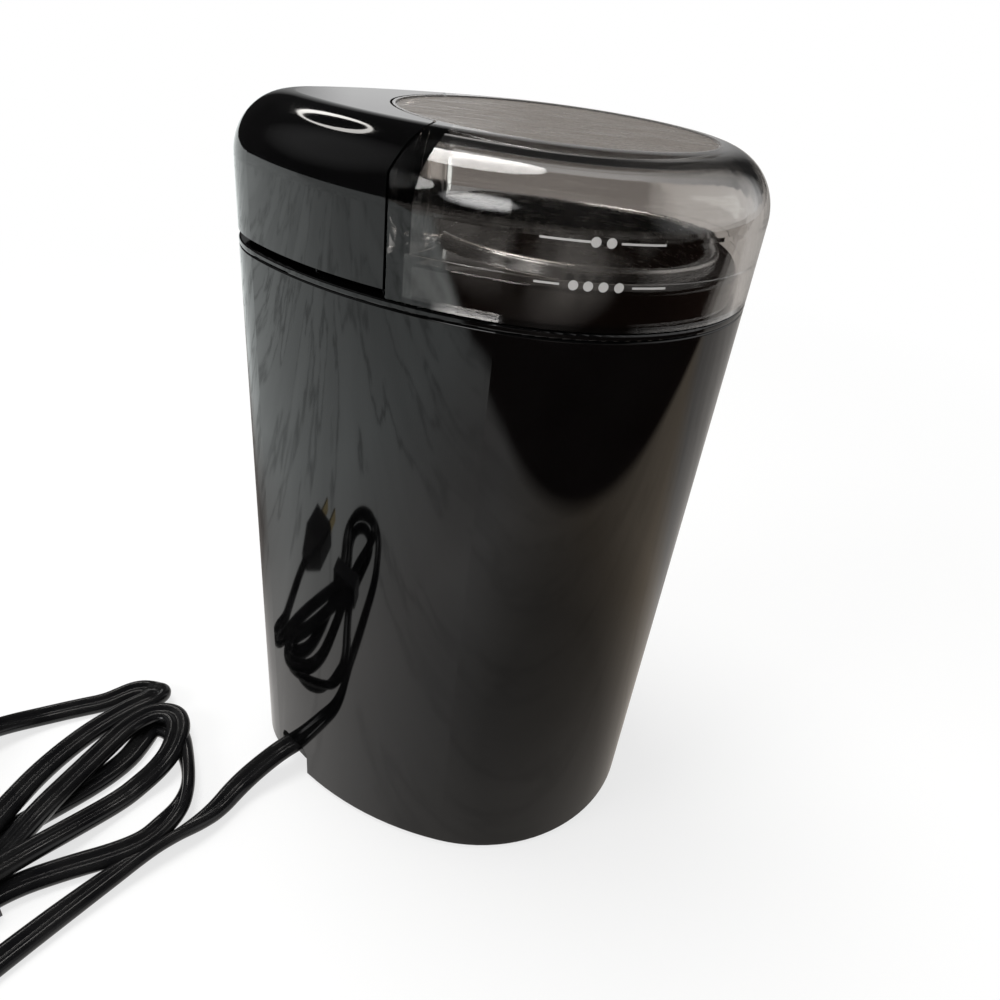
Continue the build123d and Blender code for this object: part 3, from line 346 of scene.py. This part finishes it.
# ---------------------------------------------------------------- table and studio light
# Pale table under a pale tent, both white to the camera. Gloss and clear plastic show the table as
# a painted reflection: an emission of veined stone in several tones, lit to the left, with painted
# shade to the right, at the front and round the grinder, darker behind the grinder, past its front
# edge a dark and partly hazy room; and the tent as a few bright panels.
table_half = 40.0
table_pale = (0.80, 0.80, 0.79)
table_clean = tuple(tone * 1.02 for tone in table_pale)
table_rough = 0.7
mottle_size = 0.25
white_share = 0.72          # of the table beside the grinder that is plain white to the camera
white_reach = (0.15, 0.60)  # distances over which that share grows to 1
# Tones of the table's painted reflection: lit on the left, painted shade on the right, darker behind the
# grinder.
reflected_lit_left = (1.12, 1.18, 1.17)
reflected_middle = (0.80, 0.78, 0.76)
reflected_shade_right = (0.56, 0.47, 0.37)
reflected_dark_behind = (0.20, 0.185, 0.175)
reflected_beyond = (0.42, 0.40, 0.38)
left_to_middle = (-0.22, -0.08)     # x over which one tone of the painted reflection turns into the next
middle_to_right = (-0.03, 0.15)
left_to_behind = (-0.24, -0.14)
behind_to_beyond = (0.02, 0.10)     # x at y = 0, on lines that slant
behind_slope = 0.25
front_to_back = (0.00, 0.06)        # y
vein_slant = radians(104)
vein_scale = (0.055, 0.42, 1)
vein_detail = 6
vein_raggedness = 0.55
vein_value = 0.5                    # of the clouds, along the middle of a vein
vein_level = 0.55
vein_width = 0.022
vein_fade = (-0.22, -0.05)          # x over which the veins fade
vein_faded = 0.75
cloud_levels = (0.88, 1.12)
shade_middle = (0.06, -0.08, 0)     # the grinder's shade on the table
shade_reach = (0.05, 0.14)
shade_level = 0.45
front_shade_level = 0.72          # painted shade at the table's front edge, as a share of the level by the housing
front_shade_reach = (-0.26, -0.06)
room_dark = (0.022, 0.013, 0.010)
room_hazy = (0.62, 0.58, 0.54)
haze_size = 0.30
haze_stretch = (1, 0.4, 1)
haze_share = (0.40, 0.60)
haze_reach = (-0.60, -0.45)
edge_front = -0.266         # where the table's front edge crosses x = 0
edge_slope = 0.6
edge_soft = 0.012
tent_level = 0.62           # for dull surfaces
tent_dim = 0.015            # between the panels
panels = [      # way, level, where each fades in and is full as a cosine
    ((0.05, 0.99, 0.08), 0.36, 0.92, 0.98),
    ((-0.07, 0.99, 0.10), 0.45, 0.990, 0.998),
    ((0.97, 0.10, 0.22), 0.75, 0.70, 0.92),
    ((-0.80, 0.05, 0.60), 0.20, 0.90, 0.98),
    ((-0.46, -0.80, 0.38), 6.0, 0.975, 0.995),
]
lamp_aim = Vector((0, 0, 0.1))


def worked(nodes, links, operation, *terms):
    """A number worked out from fields and plain numbers."""
    step = nodes.new("ShaderNodeMath")
    step.operation = operation
    for slot, term in zip(step.inputs, terms):
        if isinstance(term, (int, float)):
            slot.default_value = term
        else:
            links.new(term, slot)
    return step.outputs["Value"]


def of_kind(nodes, links, *kinds):
    """1 for rays of those kinds, and 0 for the rest."""
    path = nodes.new("ShaderNodeLightPath")
    found = path.outputs[f"Is {kinds[0]} Ray"]
    for kind in kinds[1:]:
        found = worked(nodes, links, "MAXIMUM", found, path.outputs[f"Is {kind} Ray"])
    return found


def chosen(nodes, links, share, first, second):
    """The first colour where the share is 0, the second where it is 1."""
    blend = nodes.new("ShaderNodeMix")
    blend.data_type = "RGBA"
    links.new(share, blend.inputs["Factor"])
    for slot, tone in (("A", first), ("B", second)):
        if isinstance(tone, tuple):
            blend.inputs[slot].default_value = (*tone, 1)
        else:
            links.new(tone, blend.inputs[slot])
    return blend.outputs["Result"]


def turning(nodes, links, field, reach, first, second):
    """One colour that turns into another as a field passes through a reach."""
    return chosen(nodes, links, spread(nodes, links, field, 0, 1, *reach), first, second)


def painted_reflection_tone(nodes, links, place):
    """Tones of the table's painted reflection: lit to the left, painted shade to the right, and darker
    behind the grinder.
    """
    apart = nodes.new("ShaderNodeSeparateXYZ")
    links.new(place, apart.inputs["Vector"])
    x, y = apart.outputs["X"], apart.outputs["Y"]
    slanted = worked(nodes, links, "MULTIPLY_ADD", y, -behind_slope, x)
    front = turning(nodes, links, x, left_to_middle, reflected_lit_left, reflected_middle)
    front = turning(nodes, links, x, middle_to_right, front, reflected_shade_right)
    behind = turning(nodes, links, slanted, behind_to_beyond, reflected_dark_behind, reflected_beyond)
    back = turning(nodes, links, x, left_to_behind, front, behind)
    return turning(nodes, links, y, front_to_back, front, back)


def painted_reflection_level(nodes, links, place):
    """How bright the table's painted reflection is: veins and clouds, a painted shadow of the grinder, and
    painted shade towards the front.
    """
    apart = nodes.new("ShaderNodeSeparateXYZ")
    links.new(place, apart.inputs["Vector"])
    bedding = nodes.new("ShaderNodeMapping")
    bedding.vector_type = "TEXTURE"
    bedding.inputs["Rotation"].default_value = (0, 0, vein_slant)
    bedding.inputs["Scale"].default_value = vein_scale
    links.new(place, bedding.inputs["Vector"])
    cloud = nodes.new("ShaderNodeTexNoise")
    cloud.inputs["Scale"].default_value = 1
    cloud.inputs["Detail"].default_value = vein_detail
    cloud.inputs["Roughness"].default_value = vein_raggedness
    links.new(bedding.outputs["Vector"], cloud.inputs["Vector"])
    off_middle = worked(nodes, links, "SUBTRACT", cloud.outputs["Fac"], vein_value)
    off_middle = worked(nodes, links, "ABSOLUTE", off_middle)
    veins = nodes.new("ShaderNodeMix")
    veins.inputs["B"].default_value = 1
    links.new(spread(nodes, links, apart.outputs["X"], 0, vein_faded, *vein_fade), veins.inputs["Factor"])
    links.new(spread(nodes, links, off_middle, vein_level, 1, 0.0, vein_width), veins.inputs["A"])
    shaded = nodes.new("ShaderNodeVectorMath")
    shaded.operation = "DISTANCE"
    shaded.inputs[1].default_value = shade_middle
    links.new(place, shaded.inputs[0])
    level = veins.outputs["Result"]
    for share in (
        spread(nodes, links, shaded.outputs["Value"], shade_level, 1, *shade_reach),
        spread(nodes, links, apart.outputs["Y"], front_shade_level, 1, *front_shade_reach),
        spread(nodes, links, cloud.outputs["Fac"], *cloud_levels),
    ):
        level = worked(nodes, links, "MULTIPLY", level, share)
    return level


def painted_reflection(nodes, links, place):
    """Painted reflection: the table as gloss and clear plastic show it, an emission by place, up to its
    front edge, and the room past it.
    """
    apart = nodes.new("ShaderNodeSeparateXYZ")
    links.new(place, apart.inputs["Vector"])
    stone = nodes.new("ShaderNodeVectorMath")
    stone.operation = "SCALE"
    links.new(painted_reflection_tone(nodes, links, place), stone.inputs[0])
    links.new(painted_reflection_level(nodes, links, place), stone.inputs["Scale"])
    haze = grain_field(nodes, links, haze_size, haze_stretch, detail=2, shift=0.9)
    haze = turning(nodes, links, haze, haze_share, room_dark, room_hazy)
    room = turning(nodes, links, apart.outputs["Y"], haze_reach, haze, room_dark)
    off_edge = worked(nodes, links, "MULTIPLY_ADD", apart.outputs["X"], -edge_slope, apart.outputs["Y"])
    edge = (edge_front - edge_soft, edge_front + edge_soft)
    shown = nodes.new("ShaderNodeEmission")
    links.new(turning(nodes, links, off_edge, edge, room, stone.outputs["Vector"]), shown.inputs["Color"])
    return shown.outputs["Emission"]


def mixed(nodes, links, share, first, second):
    """One shader where the share is 0, another where it is 1."""
    blend = nodes.new("ShaderNodeMixShader")
    links.new(share, blend.inputs["Fac"])
    links.new(first, blend.inputs[1])
    links.new(second, blend.inputs[2])
    return blend.outputs["Shader"]


table_mesh = bpy.data.meshes.new("table")
corners = [(-1, -1), (1, -1), (1, 1), (-1, 1)]
table_mesh.from_pydata([(table_half * x, table_half * y, 0) for x, y in corners], [], [(0, 1, 2, 3)])
table = bpy.data.objects.new("table", table_mesh)
scene.collection.objects.link(table)
table_finish, nodes, links, surface = new_finish("table_top")
mottle = grain_field(nodes, links, mottle_size)
links.new(tones(nodes, links, mottle, table_pale, table_clean), surface.inputs["Base Color"])
surface.inputs["Roughness"].default_value = table_rough
spot = nodes.new("ShaderNodeTexCoord").outputs["Object"]
away = nodes.new("ShaderNodeVectorMath")
away.operation = "LENGTH"
links.new(spot, away.inputs[0])
whiteness = spread(nodes, links, away.outputs["Value"], white_share, 1, *white_reach)
whiteness = worked(nodes, links, "MULTIPLY", of_kind(nodes, links, "Camera"), whiteness)
white = nodes.new("ShaderNodeEmission")
table_top = mixed(nodes, links, whiteness, surface.outputs["BSDF"], white.outputs["Emission"])
# Gloss and clear plastic see the painted reflection in place of the lit table.
seen_in_gloss = of_kind(nodes, links, "Glossy", "Transmission")
table_top = mixed(nodes, links, seen_in_gloss, table_top, painted_reflection(nodes, links, spot))
links.new(table_top, nodes["Material Output"].inputs["Surface"])
table_mesh.materials.append(table_finish)

tent = bpy.data.worlds.new("tent")
tent.use_nodes = True
scene.world = tent
nodes, links = tent.node_tree.nodes, tent.node_tree.links
air = nodes["Background"]
air.inputs["Color"].default_value = (1, 1, 1, 1)
ways = nodes.new("ShaderNodeTexCoord")
in_panels = tent_dim
for way, bright, soft, full in panels:
    facing = nodes.new("ShaderNodeVectorMath")
    facing.operation = "DOT_PRODUCT"
    facing.inputs[1].default_value = Vector(way).normalized()
    links.new(ways.outputs["Generated"], facing.inputs[0])
    panel = spread(nodes, links, facing.outputs["Value"], 0, bright, soft, full)
    in_panels = worked(nodes, links, "ADD", panel, in_panels)
plain = spread(nodes, links, of_kind(nodes, links, "Camera"), tent_level, 1, 0, 1)
strength = nodes.new("ShaderNodeMix")
links.new(of_kind(nodes, links, "Glossy", "Transmission"), strength.inputs["Factor"])
links.new(plain, strength.inputs["A"])
links.new(in_panels, strength.inputs["B"])
links.new(strength.outputs["Result"], air.inputs["Strength"])


def soft_lamp(name, place, width, power):
    """A round area lamp that faces the grinder and shows in no gloss."""
    lamp = bpy.data.lights.new(name, "AREA")
    lamp.shape = "DISK"
    lamp.size = width
    lamp.energy = power
    holder = bpy.data.objects.new(name, lamp)
    holder.location = place
    holder.rotation_euler = (lamp_aim - holder.location).to_track_quat("-Z", "Y").to_euler()
    holder.visible_glossy = False
    scene.collection.objects.link(holder)


soft_lamp("overhead", (-0.25, 0.15, 1.1), width=0.55, power=9)
soft_lamp("side", (-0.9, -0.5, 0.7), width=0.5, power=5)

# ---------------------------------------------------------------- ring light
# Ring tube of the kind that stands round a lens. It shows as a thin oval in the gloss of the cap,
# and throws no light on dull surfaces.
ring_middle = Vector((-0.540, 0.608, 0.920))
ring_along = Vector((0.104, -0.014, 0.084))      # half length as the cap shows it
ring_across = Vector((0.095, 0.191, -0.101))     # half width as the cap shows it
ring_outer = (1.0, 1.15)    # reach along and across
ring_inner = (0.88, 0.72)
ring_steps = 72
ring_white = (1, 0.97, 0.93)
ring_level = 7.0
ring_mesh = bpy.data.meshes.new("ring_light")
ring_points, ring_faces = [], []
for step in range(ring_steps):
    turn = 2 * pi * step / ring_steps
    for reach_along, reach_across in (ring_outer, ring_inner):
        ring_points.append(reach_along * cos(turn) * ring_along + reach_across * sin(turn) * ring_across)
    start, after = 2 * step, 2 * ((step + 1) % ring_steps)
    ring_faces.append((start, after, after + 1, start + 1))
ring_mesh.from_pydata(ring_points, [], ring_faces)
ring_light = bpy.data.objects.new("ring_light", ring_mesh)
ring_light.location = ring_middle
scene.collection.objects.link(ring_light)
ring_light.visible_camera = False
ring_light.visible_diffuse = False
ring_light.visible_shadow = False
ring_finish, nodes, links, surface = new_finish("ring_light")
surface.inputs["Base Color"].default_value = (0, 0, 0, 1)
surface.inputs["Emission Color"].default_value = (*ring_white, 1)
surface.inputs["Emission Strength"].default_value = ring_level
ring_mesh.materials.append(ring_finish)

# ---------------------------------------------------------------- housing, deck and button cap
# Black gloss ABS shells from polished moulds: near-mirror faces with a faint waviness and hairline
# rub marks. The deck drops into the housing and the cap floats on the deck.
shell_black = (0.0006, 0.0006, 0.0007)
shell_worn = (0.0024, 0.0023, 0.0024)
shell_rough = (0.03, 0.07)
shell_cloud = 0.030
hair_width = 0.0016
hair_stretch = (1, 1, 0.05)
hair_share = (0.62, 0.80)
hair_rough = 0.06           # added where a rub mark runs
wave_length = 0.022
wave_depth = 0.00004


def gloss_shell(name):
    """Polished black moulding with hairline rub marks that break up its gloss."""
    finish, nodes, links, surface = new_finish(name)
    cloud = grain_field(nodes, links, shell_cloud)
    hairs = grain_field(nodes, links, hair_width, hair_stretch, detail=4, shift=0.7)
    waves = grain_field(nodes, links, wave_length, detail=1, shift=0.2)
    links.new(tones(nodes, links, cloud, shell_black, shell_worn), surface.inputs["Base Color"])
    clean = spread(nodes, links, cloud, *shell_rough)
    rubbed = spread(nodes, links, hairs, 0, hair_rough, *hair_share)
    links.new(worked(nodes, links, "ADD", clean, rubbed), surface.inputs["Roughness"])
    relief(nodes, links, surface, waves, wave_depth)
    return finish


dress(gloss_shell("black_gloss"), "housing", "top_deck", "button_cap")

# ---------------------------------------------------------------- lid
# Clear styrene lid, slightly smoky. The walls are polished. The sunk round face on top is rubbed
# dull and covered in fine scratches that run one way, from years of wiping.
disc_centre = (0.0098, 0, 0.1785)
disc_radius = 0.034
disc_fade = 0.0012
disc_depth = (-0.0012, -0.0004)     # from the top, heights between which the rubbing sets in
clear_tint = (0.92, 0.90, 0.88)
rubbed_tint = (0.195, 0.158, 0.132)
rubbed_pale = (0.40, 0.355, 0.315)
rubbed_clearness = 0.62
lid_rough = (0.015, 0.06)
smear_size = 0.012
speck_size = 0.0005
scratch_width = 0.0007
scratch_stretch = (0.08, 1, 1)
scratch_share = (0.35, 0.7)
scratch_rough = (0.20, 0.46)
scratch_depth = 0.00002
lid_ior = 1.52


def on_the_disc(nodes, links):
    """1 on the round face on top, and 0 on the rest of the lid."""
    centred = nodes.new("ShaderNodeVectorMath")
    centred.operation = "SUBTRACT"
    centred.inputs[1].default_value = disc_centre
    links.new(nodes.new("ShaderNodeTexCoord").outputs["Object"], centred.inputs[0])
    apart = nodes.new("ShaderNodeSeparateXYZ")
    links.new(centred.outputs["Vector"], apart.inputs["Vector"])
    flat = nodes.new("ShaderNodeCombineXYZ")
    links.new(apart.outputs["X"], flat.inputs["X"])
    links.new(apart.outputs["Y"], flat.inputs["Y"])
    radius = nodes.new("ShaderNodeVectorMath")
    radius.operation = "LENGTH"
    links.new(flat.outputs["Vector"], radius.inputs[0])
    inside = spread(nodes, links, radius.outputs["Value"], 1, 0, disc_radius - disc_fade, disc_radius)
    high = spread(nodes, links, apart.outputs["Z"], 0, 1, *disc_depth)
    return worked(nodes, links, "MULTIPLY", inside, high)


lid_finish, nodes, links, surface = new_finish("clear_plastic")
on_disc = on_the_disc(nodes, links)
scratches = grain_field(nodes, links, scratch_width, scratch_stretch, detail=4)
specks = grain_field(nodes, links, speck_size, detail=1, shift=0.6)
smear = grain_field(nodes, links, smear_size, detail=4)
rubbed = tones(nodes, links, specks, rubbed_tint, rubbed_pale)
links.new(chosen(nodes, links, on_disc, clear_tint, rubbed), surface.inputs["Base Color"])
scratched = spread(nodes, links, scratches, *scratch_rough, *scratch_share)
scratched = worked(nodes, links, "MULTIPLY", on_disc, scratched)
smeared = spread(nodes, links, smear, *lid_rough)
links.new(worked(nodes, links, "ADD", scratched, smeared), surface.inputs["Roughness"])
clearness = spread(nodes, links, on_disc, 1, rubbed_clearness, 0, 1)
links.new(clearness, surface.inputs["Transmission Weight"])
surface.inputs["IOR"].default_value = lid_ior
grooves = worked(nodes, links, "MULTIPLY", on_disc, scratches)
relief(nodes, links, surface, grooves, scratch_depth)
dress(lid_finish, "lid")

# ---------------------------------------------------------------- fill marks
# Two rows of dots and lines printed on the lid's side in pale grey ink: fill levels, one with two
# dots and one with four. The ink lies on the outer face.
ink_grey = (0.45, 0.44, 0.43)
ink_fresh = tuple(tone * 1.05 for tone in ink_grey)
ink_lift = 0.00006
line_thick = 0.00038
line_steps = 8
dot_width = 0.00175
dot_corners = 20
before_lid = -0.2           # y from which the marks are laid on the lid
rows = [    # height, then lines from x to x, then the dots' x
    (0.1659, [(0.0045, 0.0131), (0.0184, 0.0265)], [0.0140, 0.0167]),
    (0.1585, [(0.0045, 0.0089), (0.0218, 0.0281)], [0.0113, 0.0139, 0.0166, 0.0194]),
]


def on_lid(x, height):
    """The place on the lid's outer face at that x and height, raised by the ink."""
    start = Vector((x, before_lid, height))
    place, normal = pieces["lid"].ray_cast(start, Vector((0, 1, 0)))[1:3]
    return place + normal * ink_lift


def ink_line(points, faces, start, stop, height):
    """Adds a printed line from x to x at that height."""
    first = len(points)
    for step in range(line_steps + 1):
        x = start + (stop - start) * step / line_steps
        points.append(on_lid(x, height - line_thick / 2))
        points.append(on_lid(x, height + line_thick / 2))
    for step in range(line_steps):
        corner = first + 2 * step
        faces.append((corner, corner + 2, corner + 3, corner + 1))


def ink_dot(points, faces, x, height):
    """Adds a printed dot."""
    middle = len(points)
    points.append(on_lid(x, height))
    for step in range(dot_corners):
        turn = 2 * pi * step / dot_corners
        points.append(on_lid(x + dot_width / 2 * cos(turn), height + dot_width / 2 * sin(turn)))
        faces.append((middle, middle + 1 + step, middle + 1 + (step + 1) % dot_corners))


points, faces = [], []
for height, lines, dots in rows:
    for start, stop in lines:
        ink_line(points, faces, start, stop, height)
    for x in dots:
        ink_dot(points, faces, x, height)
ink_mesh = bpy.data.meshes.new("fill_marks")
ink_mesh.from_pydata(points, [], faces)
fill_marks = bpy.data.objects.new("fill_marks", ink_mesh)
scene.collection.objects.link(fill_marks)
ink_finish = grained_finish(
    "ink",
    dark=ink_grey,
    light=ink_fresh,
    rough=(0.4, 0.55),
    grain=0.0004,
    depth=0.000004,
)
ink_mesh.materials.append(ink_finish)
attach(fill_marks, "lid")

# ---------------------------------------------------------------- bowl and blade
# Pressed stainless bowl with a rolled rim that rests on the deck's collar, and a rubber grommet in
# its floor round the motor's hub. The twisted blade sits on a moulded spacer under a plated nut.
bowl_finish = grained_finish(
    "bowl_steel",
    dark=(0.36, 0.355, 0.35),
    light=(0.46, 0.455, 0.45),
    rough=(0.18, 0.30),
    grain=0.0006,
    depth=0.000006,
    metal=1,
    stretch=(1, 1, 8),
)
blade_finish = grained_finish(
    "blade_steel",
    dark=(0.50, 0.49, 0.48),
    light=(0.64, 0.63, 0.62),
    rough=(0.20, 0.34),
    grain=0.0005,
    depth=0.000008,
    metal=1,
    stretch=(8, 1, 1),
)
rubber_finish = grained_finish(
    "black_rubber",
    dark=(0.012, 0.012, 0.012),
    light=(0.026, 0.026, 0.027),
    rough=(0.55, 0.72),
    grain=0.0006,
    depth=0.00004,
)
moulding_finish = grained_finish(
    "black_moulding",
    dark=(0.011, 0.011, 0.012),
    light=(0.022, 0.022, 0.023),
    rough=(0.42, 0.58),
    grain=0.0007,
    depth=0.00004,
)
plated_finish = grained_finish(
    "plated_steel",
    dark=(0.60, 0.60, 0.61),
    light=(0.72, 0.72, 0.73),
    rough=(0.20, 0.36),
    grain=0.0006,
    depth=0.000006,
    metal=1,
)
dress(bowl_finish, "grinding_bowl")
dress(blade_finish, "blade")
dress(rubber_finish, "bowl_seal")
dress(moulding_finish, "blade_spacer")
dress(plated_finish, "blade_nut")

# ---------------------------------------------------------------- switch and button guides
# Push switch in dull glass-filled mouldings, held to the deck by plated screws. Plated springs lift
# the cap, and plated screws under its guide posts keep it from lifting off.
switch_finish = grained_finish(
    "switch_moulding",
    dark=(0.030, 0.030, 0.032),
    light=(0.050, 0.050, 0.052),
    rough=(0.35, 0.5),
    grain=0.0006,
    depth=0.00003,
)
dress(switch_finish, "switch_body", "switch_plunger")
dress(plated_finish, "guide_screws", "return_springs", "switch_screws")

# ---------------------------------------------------------------- motor
# Universal motor: stacked iron laminations, enamelled copper windings, a copper commutator and
# sintered bronze bushes, between two die-cast brackets. The upper one hangs on rubber mounts.
core_finish = grained_finish(
    "core_steel",
    dark=(0.22, 0.21, 0.20),
    light=(0.34, 0.33, 0.31),
    rough=(0.38, 0.55),
    grain=0.0005,
    depth=0.00003,
    metal=1,
    stretch=(1, 1, 10),
)
copper_finish = grained_finish(
    "copper",
    dark=(0.62, 0.24, 0.10),
    light=(0.80, 0.36, 0.17),
    rough=(0.25, 0.4),
    grain=0.0005,
    depth=0.00008,
    metal=1,
    stretch=(1, 1, 0.2),
)
bronze_finish = grained_finish(
    "bronze",
    dark=(0.46, 0.30, 0.15),
    light=(0.58, 0.40, 0.22),
    rough=(0.4, 0.55),
    grain=0.0003,
    depth=0.00002,
    metal=1,
)
bracket_finish = grained_finish(
    "bracket_metal",
    dark=(0.55, 0.56, 0.56),
    light=(0.68, 0.68, 0.66),
    rough=(0.3, 0.46),
    grain=0.0016,
    depth=0.00001,
    metal=1,
)
fan_finish = grained_finish(
    "fan_moulding",
    dark=(0.50, 0.49, 0.45),
    light=(0.60, 0.59, 0.55),
    rough=(0.45, 0.6),
    grain=0.0008,
    depth=0.00003,
)
carbon_finish = grained_finish(
    "carbon",
    dark=(0.016, 0.016, 0.017),
    light=(0.034, 0.033, 0.032),
    rough=(0.5, 0.68),
    grain=0.0003,
    depth=0.00002,
)
dress(core_finish, "armature_core", "stator_core")
dress(copper_finish, "armature_winding", "field_coils", "commutator")
dress(bronze_finish, "upper_bush", "lower_bush")
dress(bracket_finish, "upper_bracket", "lower_bracket")
dress(fan_finish, "cooling_fan")
dress(carbon_finish, "carbon_brushes")
dress(plated_finish, "motor_shaft", "through_bolts", "mount_screws", "brush_springs")
dress(rubber_finish, "rubber_mounts", "bearing_cushion")
dress(moulding_finish, "brush_holders")

# ---------------------------------------------------------------- base
# Dull black moulded plate with vents, held by plated screws, on four pressed-in rubber feet. A
# moulded clamp under two plated screws holds the cord.
dress(moulding_finish, "base_plate", "cord_clamp")
dress(rubber_finish, "rubber_feet")
dress(plated_finish, "base_screws", "clamp_screws")
